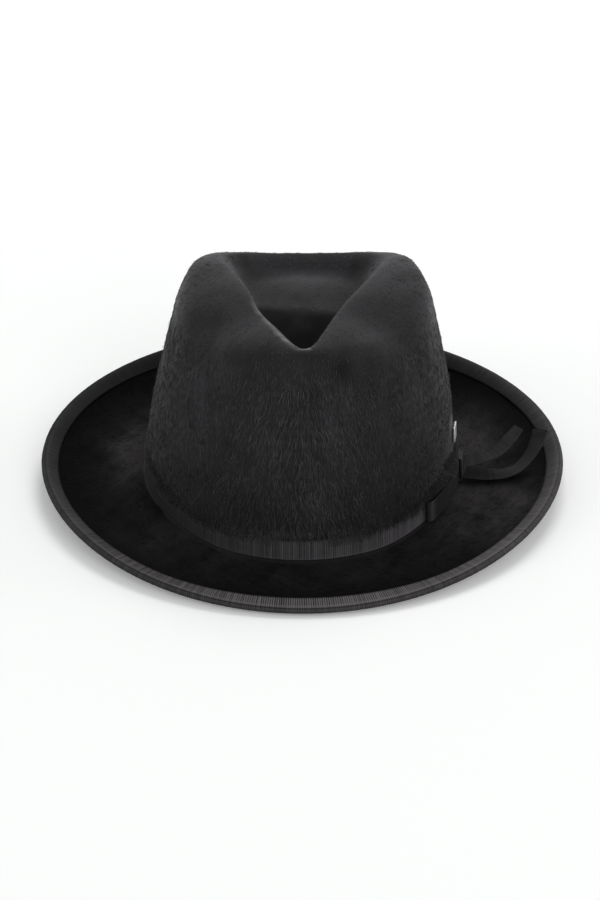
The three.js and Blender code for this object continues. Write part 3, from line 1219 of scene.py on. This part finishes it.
@dataclass
class SidePlate:
    """A small plain metal plate on the crown's low wall, its top tipped out by some degrees."""

    form: HatForm
    width: float = 11.5
    height: float = 8.3
    thick: float = 1.2
    corner: float = 0.3
    rim: float = 0.14
    tip: float = 2.5
    column: float = -1.55
    z: float = 34.5
    stand: float = 0.65

    def seat(self) -> Matrix:
        """Find the plate's place on the wall.

        Returns:
            The place and the turn, in metres.
        """
        form = self.form
        angle = form.turn(np.array([self.column]))
        below, above = form.ring(form.band_top, angle)[0], form.ring(form.low_wall, angle)[0]
        beside = form.ring(form.low_wall, form.turn(np.array([self.column + 0.1])))[0]
        up = unit(above - below)
        out = unit(np.cross(beside - above, up))
        across = np.cross(up, out)
        share = (self.z - below[2]) / (above[2] - below[2])
        spot = (below + (above - below) * share + out * (self.stand + self.thick / 2)) * MM
        lean = math.radians(self.tip)
        up, out = up * math.cos(lean) + out * math.sin(lean), out * math.cos(lean) - up * math.sin(lean)
        seat = Matrix((across, up, out)).transposed().to_4x4()
        seat.translation = Vector(spot)
        return seat

    def build(self, material: bpy.types.Material) -> bpy.types.Object:
        """Make the plate with rounded corners and a softened rim.

        Args:
            material: Its finish.

        Returns:
            The piece.
        """
        soften = {"affect": "EDGES", "profile": 0.5, "material": -1}
        bm = bmesh.new()
        bmesh.ops.create_cube(bm, size=1.0)
        bmesh.ops.scale(bm, vec=Vector((self.width, self.height, self.thick)) * MM, verts=bm.verts)
        upright = [e for e in bm.edges if abs(e.verts[0].co.z - e.verts[1].co.z) > 0.5 * self.thick * MM]
        bmesh.ops.bevel(bm, geom=upright, offset=self.corner * MM, segments=6, **soften)
        front = [f for f in bm.faces if f.normal.z > 0.9]
        rim = [e for f in front for e in f.edges]
        bmesh.ops.bevel(bm, geom=rim, offset=self.rim * MM, segments=3, **soften)
        bmesh.ops.transform(bm, matrix=self.seat(), verts=bm.verts)
        piece = register("metal_plate", settle(bm, "metal_plate"), material)
        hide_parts("side_plate")
        return piece


# The felt and its nap


@dataclass
class Felt:
    """The felt of crown and brim, and the long hairs brushed over it.

    Spots of brushed nap and of painted light and shade hold their place, their reach along each axis and how
    much paler the nap is painted there. The bow's painted shade and the plate's calm hold a place and a reach. The
    plate's spot holds its least X, its middle Y, its half width and its two heights, and the loop's spot holds X, Y
    and its reach along both. Other pairs are X and Y, the ends of a range, or the values over the band and over the
    loop.
    """

    form: HatForm
    levels: int = 2
    unevenness: float = 0.22
    band_top: float = 13.0
    crown_middle: tuple = (1.0, 18.0)
    crown_foot: tuple = (24.0, 30.0)
    dent_half: tuple = (44.0, 66.0)
    dent_middle: float = 10.0
    dent_edge: tuple = (0.85, 1.05)
    dent_heights: tuple = (78.0, 84.0)
    hollow_edge: float = 7.0
    hollow_slant: float = 0.2
    hollow_blur: float = 6.0
    hollow_heights: tuple = (102.0, 112.0)
    shoulder_heights: tuple = (88.0, 106.0)
    calm_heights: tuple = (89.0, 108.0)
    thin_heights: tuple = (93.0, 110.0)
    # Painted shade on the crown beside the bow, which also takes away the felt's sheen.
    bow_shade: tuple = ((84.0, -32.0, 36.0), (14.0, 34.0, 15.0))
    plate_calm: tuple = ((85.0, -34.0, 35.0), (16.0, 30.0, 13.0))
    plate_spot: tuple = (76.0, -15.0, 9.0, 26.0, 45.0)
    # The width, search distance and line of a painted highlight along the dent's left edge.
    highlight_width: float = 1.6
    highlight_search: float = 4.0
    highlight_ridge: tuple = (
        (-26.2, -21.5, 115.9), (-23.0, -32.0, 115.4), (-19.6, -40.5, 115.2), (-13.5, -56.3, 114.9),
        (-9.2, -65.3, 114.3), (-6.0, -70.3, 113.7), (-2.8, -74.2, 113.2), (3.0, -74.4, 113.0),
    )
    # Brushed nap, a dark tuft, painted light on the dent's back wall, a painted shadow under the lower tail.
    brushed_nap_and_painted_shading: tuple = (
        ((-90.0, 18.0, 10.0), (15.0, 30.0, 30.0), 2.2),
        ((-72.0, -92.0, 6.0), (34.0, 24.0, 30.0), 0.3),
        ((106.0, -50.0, 8.0), (32.0, 44.0, 30.0), 1.15),
        ((96.0, 26.0, 12.0), (18.0, 34.0, 30.0), 1.5),
        ((0.0, 70.0, 101.0), (40.0, 9.0, 9.0), 2.7),
        ((45.0, 42.0, 113.0), (9.0, 28.0, 9.0), 0.9),
        ((-43.0, 44.0, 113.0), (8.0, 22.0, 8.0), 0.3),
        ((76.0, -52.0, 32.0), (34.0, 44.0, 24.0), -0.5),
        ((-31.0, -96.0, 29.0), (21.0, 20.0, 15.0), -0.45),
        ((-82.0, -48.0, 26.0), (26.0, 40.0, 18.0), -0.3),
        ((98.0, -22.0, 8.0), (14.0, 5.0, 6.0), -1.0),
        ((4.0, -100.0, 33.0), (10.0, 14.0, 8.0), 0.3),
        ((-50.0, -66.0, 74.0), (24.0, 30.0, 20.0), 0.2),
        ((58.0, -56.0, 76.0), (22.0, 34.0, 20.0), 0.25),
        ((20.8, -79.2, 102.8), (5.5, 5.5, 6.5), -0.9),
        ((108.0, 8.0, 8.0), (13.0, 9.0, 6.0), -0.75),
        ((84.0, -32.0, 38.0), (14.0, 34.0, 16.0), -0.35),
        ((-52.0, -24.0, 108.0), (16.0, 28.0, 15.0), -0.13),
        ((60.0, -20.0, 104.0), (14.0, 26.0, 15.0), -0.05),
    )
    crown_tone: float = 0.8
    brim_tone: tuple = (0.5, 0.06)
    nap_rings: tuple = (1.035, 0.945)
    hair_length: tuple = (3.0, 7.6)
    hair_width: tuple = (0.13, 0.3)
    hair_rise: tuple = (0.1, 0.42)
    curl_rise: tuple = (0.3, 0.9)
    curl_chance: float = 0.04
    glint_chance: float = 0.1
    hair_tone: float = 0.19
    loop_spot: tuple = (80.0, -38.0, 16.0, 26.0)
    loop_height: float = 3.0
    over_heights: tuple = (3.0, 5.5)
    over_rise: tuple = (1.35, 2.8)
    low_calm: float = 0.55
    fine: bpy.types.Object | None = None

    def build(self, crown: bpy.types.Material, brim: bpy.types.Material) -> bpy.types.Object:
        """Round off a copy of the model's felt and make it gently uneven.

        Args:
            crown: The crown's finish.
            brim: The brim's finish.

        Returns:
            The piece.
        """
        mesh = self.rounded()
        points, normals = self.read(mesh.vertices, "co") / MM, self.read(mesh.vertices, "normal")
        bump = self.unevenness * (0.6 * drift(points, 16, 5) + 0.4 * drift(points, 6, 9))
        bump = bump * ease(2.5, 8, points[:, 2]) * (1 - 0.8 * self.in_dent(points))
        points = points + normals * bump[:, None]
        mesh.vertices.foreach_set("co", (points * MM).astype(np.float32).ravel())
        mesh.polygons.foreach_set("use_smooth", np.ones(len(mesh.polygons), dtype=bool))
        for name, values in (
            ("wall", 1 - ease(0.35, 0.8, np.abs(normals[:, 2]))),
            ("shade", self.shade(points)),
            # Painted shade in the dent's front and beside the bow, where the felt also loses its sheen.
            ("painted_shade", 0.75 * self.painted_shade(points) + 0.3 * near(points, *self.bow_shade)),
            ("loose", self.looseness(points)),
            ("painted_light", self.painted_light(points)),
        ):
            mesh.attributes.new(name, "FLOAT", "POINT").data.foreach_set("value", values.astype(np.float32))
        mesh.update()
        self.fine = register("felt_hat", mesh, crown)
        mesh.materials.append(brim)
        middle = self.read(mesh.polygons, "center") / MM
        flat = (self.round_root(middle) > 1.02) & (middle[:, 2] < self.crown_foot[0])
        mesh.polygons.foreach_set("material_index", flat.astype(np.int32))
        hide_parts("felt_body")
        return self.fine

    def rounded(self) -> bpy.types.Mesh:
        """Subdivide a merged copy of the model's felt.

        Returns:
            The copy's mesh, in metres.
        """
        bm = bmesh.new()
        bm.from_mesh(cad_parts["felt_body"].data)
        bmesh.ops.remove_doubles(bm, verts=bm.verts, dist=WELD)
        bmesh.ops.join_triangles(bm, faces=bm.faces, angle_face_threshold=math.pi, angle_shape_threshold=math.pi)
        coarse = bpy.data.meshes.new("felt_coarse")
        bm.to_mesh(coarse)
        bm.free()
        holder = placed("felt_coarse", coarse)
        rounding = holder.modifiers.new("rounding", "SUBSURF")
        rounding.levels = rounding.render_levels = self.levels
        graph = bpy.context.evaluated_depsgraph_get()
        mesh = bpy.data.meshes.new_from_object(holder.evaluated_get(graph))
        bpy.data.objects.remove(holder)
        mesh.name = "felt_hat"
        return mesh

    @staticmethod
    def read(items: bpy.types.bpy_prop_collection, name: str) -> Array:
        """Read a vector property of many items.

        Args:
            items: The vertices or faces.
            name: The property's name.

        Returns:
            One row an item.
        """
        values = np.empty(3 * len(items), dtype=np.float32)
        items.foreach_get(name, values)
        return values.reshape(-1, 3).astype(float)

    def round_root(self, points: Array) -> Array:
        """Return how far out points lie, where 1 is the oval of the brim's root."""
        x = (points[:, 0] - self.form.head_shift) / self.form.head_half_width
        return np.hypot(x, (points[:, 1] - self.form.forward) / self.form.head_half_length)

    def away(self, points: Array) -> Array:
        """Return the level way out from the middle of the head at points."""
        return unit(points[:, :2] - np.array([self.form.head_shift, self.form.forward]))

    def band_line(self, points: Array) -> Array:
        """Return how high the band's top edge lies beside points."""
        return self.form.felt + self.form.lift(self.away(points)[:, 0]) + self.band_top

    def on_brim(self, points: Array) -> Array:
        """Return 1 for points on the brim and 0 on the crown, with a soft edge."""
        return ease(1.0, 1.04, self.round_root(points)) * (1 - ease(*self.crown_foot, points[:, 2]))

    def in_dent(self, points: Array) -> Array:
        """Return 1 for points in the dent and 0 outside, with a soft edge."""
        ring = np.hypot(points[:, 0] / self.dent_half[0], (points[:, 1] - self.dent_middle) / self.dent_half[1])
        return (1 - ease(*self.dent_edge, ring)) * ease(*self.dent_heights, points[:, 2])

    def painted_shade(self, points: Array) -> Array:
        """Give how much painted shade lies on points in the dent's dark front.

        Args:
            points: Places on the felt.

        Returns:
            0 to 1 for each.
        """
        behind = points[:, 1] - (self.hollow_edge - self.hollow_slant * points[:, 0])
        front = 1 - ease(-self.hollow_blur, self.hollow_blur, behind)
        return self.in_dent(points) * front * (1 - ease(*self.hollow_heights, points[:, 2]))

    def shade(self, points: Array) -> Array:
        """Give how pale the nap is: painted shade in the dent's front, brushed nap and painted light at spots.

        Args:
            points: Places on the felt.

        Returns:
            A tone for each, 1 for the finish's own light colour.
        """
        ring = self.round_root(points)
        foot = 0.5 * (1 - ease(18, 58, points[:, 2])) * (1 - ease(1.0, 1.03, ring))
        inner, outer = self.brim_tone
        brim = inner + (outer - inner) * ease(1.05, 1.55, ring)
        level = self.crown_tone + (brim - self.crown_tone) * self.on_brim(points)
        # Brushed nap together with painted light and shade at the listed spots.
        glow = sum(gain * near(points, place, reach) for place, reach, gain in self.brushed_nap_and_painted_shading)
        patchy = 1 + 0.28 * drift(points, 18, 31) + 0.22 * drift(points, 7, 32)
        return np.clip((level - foot + glow) * patchy - 0.6 * self.painted_shade(points), 0.03, 4.0)

    def painted_light(self, points: Array) -> Array:
        """Give the painted highlight along the sharp left edge of the dent.

        Args:
            points: Places on the felt.

        Returns:
            0 to 1 for each.
        """
        line = smooth_curve(np.array(self.highlight_ridge), np.linspace(0, 1, 60))
        tree = KDTree(len(line))
        for k, spot in enumerate(line):
            tree.insert(spot, k)
        tree.balance()
        close = np.full(len(points), 9.0)
        low, high = line.min(axis=0) - self.highlight_search, line.max(axis=0) + self.highlight_search
        for k in np.flatnonzero(np.all((points > low) & (points < high), axis=1)):
            close[k] = tree.find(points[k])[2]
        return np.exp(-((close / self.highlight_width) ** 2)) * (0.6 + 0.4 * drift(points, 4, 6))

    def looseness(self, points: Array) -> Array:
        """Return how rough the felt is, 0 to 1: least in the dent, then on the shoulders and the brim."""
        shoulder = 0.85 * ease(*self.shoulder_heights, points[:, 2])
        return (1 - 0.85 * self.in_dent(points)) * (1 - shoulder) * (1 - 0.6 * self.on_brim(points))

    def calm(self, lay: Lay, roots: Array) -> Array:
        """Give how freely the hairs stand: least in the dent, on the shoulders and by the plate.

        Args:
            lay: Which nap.
            roots: The hairs' roots.

        Returns:
            0 to 1 for each.
        """
        held = 0.75 * ease(*self.calm_heights, roots[:, 2])
        calm = np.clip(1 - held - 0.9 * self.in_dent(roots) - 0.85 * near(roots, *self.plate_calm), 0.08, 1)
        return calm * (1.0 if lay is Lay.CROWN else self.low_calm)

    def places(self, lay: Lay) -> tuple[Array, Array, Array]:
        """Find the faces of the felt that carry one lay of nap.

        Args:
            lay: Which nap.

        Returns:
            The faces' numbers, middles and outward directions.
        """
        mesh, form = self.fine.data, self.form
        middle, normal = self.read(mesh.polygons, "center") / MM, self.read(mesh.polygons, "normal")
        x, y, z = middle.T
        level = normal[:, 2]
        ring, edge = self.round_root(middle), np.hypot(x / form.brim_half_width, y / form.brim_half_length)
        on_brim = (z < self.crown_foot[0]) & (ring > self.nap_rings[0]) & (edge < self.nap_rings[1])
        if lay is Lay.BRIM:
            chosen = on_brim & (level > 0.3)
        elif lay is Lay.UNDER:
            chosen = on_brim & (level < -0.3) & (z > 1.5)
        else:
            outward = np.sum(self.away(middle) * normal[:, :2], axis=1)
            wall, top = (outward > 0.25) & (level > -0.4), (z > 82) & (level > 0.02)
            chosen = (z > self.band_line(middle) + 0.8) & (ring < 1.1) & (wall | top)
            least_x, plate_y, half, low, high = self.plate_spot
            plate = (x > least_x) & (np.abs(y - plate_y) < half) & (z > low) & (z < high)
            # No hairs on the painted shade of the dent's front or on the painted highlight of its left edge.
            chosen &= ~plate & (self.painted_shade(middle) < 0.3) & (self.painted_light(middle) < 0.2)
        which = np.flatnonzero(chosen)
        return which, middle[which], normal[which]

    def comb(self, lay: Lay, points: Array, normals: Array, rng: np.random.Generator) -> Array:
        """Give the way that each hair lies.

        Args:
            lay: Which nap.
            points: The hairs' roots.
            normals: The felt's outward directions there.
            rng: The source of chance.

        Returns:
            Unit directions along the felt.
        """
        centre = np.array([*(self.crown_middle if lay is Lay.CROWN else (self.form.head_shift, 0.0)), 0.0])
        away = unit((points - centre) * np.array([1.0, 1.0, 0.0]))
        around = np.stack([-away[:, 1], away[:, 0], np.zeros(len(away))], axis=1)
        if lay is Lay.CROWN:
            main, other = away * 0.2 + np.array([0.0, 0.0, -1.0]), around
            lean = 0.2 * drift(points, 26, 11) + 0.22 * drift(points, 8, 12) + rng.normal(0, 0.24, len(points))
        else:
            main, other = around, away
            lean = 0.5 + 0.35 * drift(points, 30, 13) + 0.25 * drift(points, 10, 14)
            lean = lean + rng.normal(0, 0.25, len(points))
        way = main + other * lean[:, None]
        return unit(way - normals * np.sum(way * normals, axis=1, keepdims=True))

    def over_band(self, lay: Lay, roots: Array) -> Array:
        """Give how far hairs rise so that their tips lie over the band, and over the bow's loop.

        Args:
            lay: Which nap.
            roots: The hairs' roots.

        Returns:
            The rise of each, in millimetres.
        """
        if lay is not Lay.CROWN:
            return np.zeros(len(roots))
        x, y, wide, long = self.loop_spot
        loop = np.exp(-(((roots[:, 0] - x) / wide) ** 2) - ((roots[:, 1] - y) / long) ** 2)
        above = roots[:, 2] - self.band_line(roots) - self.loop_height * loop
        over_band, over_loop = self.over_rise
        return (1 - ease(*self.over_heights, above)) * (over_band + over_loop * loop)

    def nap(self, lay: Lay, name: str, count: int, seed: int, material: bpy.types.Material) -> bpy.types.Object:
        """Lay hairs over one part of the felt.

        Args:
            lay: Which nap.
            name: The piece's name.
            count: How many hairs.
            seed: Picks them.
            material: Their finish.

        Returns:
            The piece.
        """
        rng = np.random.default_rng(seed)
        which, middle, normal = self.places(lay)
        mesh = self.fine.data
        area = np.empty(len(mesh.polygons), dtype=np.float32)
        mesh.polygons.foreach_get("area", area)
        weight = area[which] * (1 + 2.5 * self.over_band(lay, middle))
        weight = weight * (1 - 0.5 * ease(*self.thin_heights, middle[:, 2]))
        pick = rng.choice(len(which), count, p=weight / weight.sum())
        roots, lifts = middle[pick], normal[pick]
        jitter = rng.uniform(-1, 1, (count, 3)) * (np.sqrt(area[which][pick])[:, None] / MM * 0.6)
        jitter -= lifts * np.sum(jitter * lifts, axis=1, keepdims=True)
        roots = roots + jitter
        along = self.comb(lay, roots, lifts, rng)
        over = self.over_band(lay, roots)
        calm = np.maximum(self.calm(lay, roots), np.minimum(over, 1.0))
        length = rng.uniform(*self.hair_length, count) * (0.35 + 0.65 * calm)
        curled = rng.random(count) > 1 - self.curl_chance
        rise = rng.uniform(*self.hair_rise, count) + np.where(curled, rng.uniform(*self.curl_rise, count), 0.0)
        clump = 0.5 + 0.5 * drift(roots, 7, seed + 1)
        glint = np.where(rng.random(count) > 1 - self.glint_chance, rng.uniform(0.25, 1.0, count), 0.0)
        glint = glint * calm * (lay is Lay.CROWN)
        tone = 0.07 + 0.2 * clump * rng.random(count) + np.abs(rng.normal(0, 0.07, count))
        spread = 0.35 + 0.65 * calm if lay is Lay.CROWN else 1.0
        tone = self.hair_tone + (tone - self.hair_tone) * spread + glint
        # Hair tones take the felt's painted light and shade as well as its brushed nap.
        tone = np.clip(tone * self.shade(roots) / self.crown_tone * (1 + 0.2 * over), 0, 1)
        width = rng.uniform(*self.hair_width, count)
        rise = rise * calm ** 2 + over * rng.uniform(0.75, 1.0, count)
        hairs = Strands(roots, along, lifts, length, width, rise, tone, 0.55 + 0.4 * (over > 0.1))
        return register(name, hairs.mesh(name), material)


# The view


@dataclass
class Studio:
    """A pale floor, soft light and the camera at the photograph's angle.

    Lamps hold their name, their place in metres, their power in watts and the length of their side in metres.
    """

    target: tuple = (-0.00127, -0.0038, 0.0182)
    aim: tuple = (0.0, 0.0, 0.05)
    elevation: float = 26.5
    distance: float = 1.9
    lens: float = 136.57
    sensor: float = 36.0
    clip: tuple = (0.05, 60.0)
    floor_size: float = 14.0
    horizon: float = 0.78
    zenith: float = 0.42
    sky: tuple = (0.985, 1.0, 0.99, 1.0)
    lamps: tuple = (
        ("back_top", (0.3, 1.2, 1.95), 18.0, 1.1),
        ("front_fill", (0.7, -1.9, 1.2), 9.0, 1.0),
        ("right_fill", (1.7, 0.3, 0.7), 3.0, 0.8),
        ("left_fill", (-1.6, -0.9, 0.9), 4.0, 0.8),
    )

    def floor(self) -> None:
        """Make the floor."""
        bm = bmesh.new()
        bmesh.ops.create_grid(bm, x_segments=8, y_segments=8, size=self.floor_size)
        mesh = bpy.data.meshes.new("floor")
        bm.to_mesh(mesh)
        bm.free()
        mesh.materials.append(FloorFinish().material())
        ground = placed("floor", mesh)

    def light(self) -> None:
        """Make the white surroundings and the soft square lights that face the hat."""
        world = bpy.data.worlds.new("studio_white")
        bench = Bench(world)
        way = bench.node("ShaderNodeTexCoord", out="Generated")
        height = bench.node("ShaderNodeSeparateXYZ", None, {"Vector": way}, out="Z")
        strength = self.horizon - (self.horizon - self.zenith) * height.between(0.05, 0.8)
        backdrop = bench.node("ShaderNodeBackground", None, {"Color": self.sky, "Strength": strength})
        bpy.context.scene.world = bench.close(backdrop, "ShaderNodeOutputWorld")
        for name, place, power, size in self.lamps:
            light = bpy.data.lights.new(name, "AREA")
            light.energy = power
            light.size = size
            lamp = placed(name, light)
            lamp.location = place
            lamp.rotation_euler = (Vector(self.aim) - Vector(place)).to_track_quat("-Z", "Y").to_euler()

    def camera(self) -> None:
        """Stand the camera at the photograph's angle."""
        data = bpy.data.cameras.new("camera")
        data.lens = self.lens
        data.sensor_width = self.sensor
        data.clip_start, data.clip_end = self.clip
        camera = placed("camera", data)
        tilt = math.radians(self.elevation)
        back = Vector((0.0, -math.cos(tilt), math.sin(tilt))) * self.distance
        camera.location = Vector(self.target) + back
        camera.rotation_euler = (math.radians(90.0) - tilt, 0.0, 0.0)
        bpy.context.scene.camera = camera
        bpy.context.scene.view_settings.view_transform = "Standard"

    def build(self) -> None:
        """Make the floor, the lights and the camera."""
        self.floor()
        self.light()
        self.camera()


def corners(bounds: Sequence[Vector]) -> list[list[float]]:
    """Return a box's corners as plain lists."""
    return [[float(value) for value in corner] for corner in bounds]


def main() -> None:
    logging.basicConfig(level=logging.INFO, format="%(name)s: %(message)s")
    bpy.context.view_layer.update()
    Studio().build()
    form = HatForm()
    felt = Felt(form)
    dull = FeltFinish(
        "felt_brim", (0.002, 0.0018, 0.002), (0.036, 0.0332, 0.0347), contrast=0.2, sheen=0.015, shine=0.03,
    )
    felt.build(FeltFinish().material(), dull.material())
    nap = NapFinish().material()
    low = NapFinish(
        "nap_brim", (0.003, 0.0028, 0.003), (0.034, 0.0315, 0.033), (0.036, 0.033, 0.032), sheen=0.01, shine=0.04,
    ).material()
    felt.nap(Lay.CROWN, "nap_crown_a", 17600, 21, nap)
    felt.nap(Lay.CROWN, "nap_crown_b", 14000, 22, nap)
    felt.nap(Lay.BRIM, "nap_brim", 9000, 23, low)
    felt.nap(Lay.UNDER, "nap_under", 5000, 24, low)
    ribbons = Ribbons(form)
    ribbon = RibbonFinish("ribbon_band", light=(0.088, 0.081, 0.088)).material()
    # The bow's and the tails' ribbons are darker copies of the band's: painted shade.
    loose = RibbonFinish("ribbon_bow_shaded", light=(0.04, 0.037, 0.04), gloss=0.6, sheen=0.02, shine=0.15).material()
    edge = RibbonFinish("ribbon_binding", light=(0.12, 0.112, 0.118), gloss=0.55, sheen=0.0, shine=0.08).material()
    free = RibbonFinish("ribbon_tails_shaded", light=(0.036, 0.033, 0.036), gloss=0.6, sheen=0.0, shine=0.12).material()
    ribbons.binding(edge)
    ribbons.band(ribbon)
    ribbons.loop(loose)
    ribbons.keeper(loose)
    ribbons.tail("tail_high", "tail_upper", ribbons.upper_tail, free)
    ribbons.tail("tail_low", "tail_lower", ribbons.lower_tail, free)
    SidePlate(form).build(PlateFinish().material())
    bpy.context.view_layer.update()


if __name__ == "__main__":
    main()
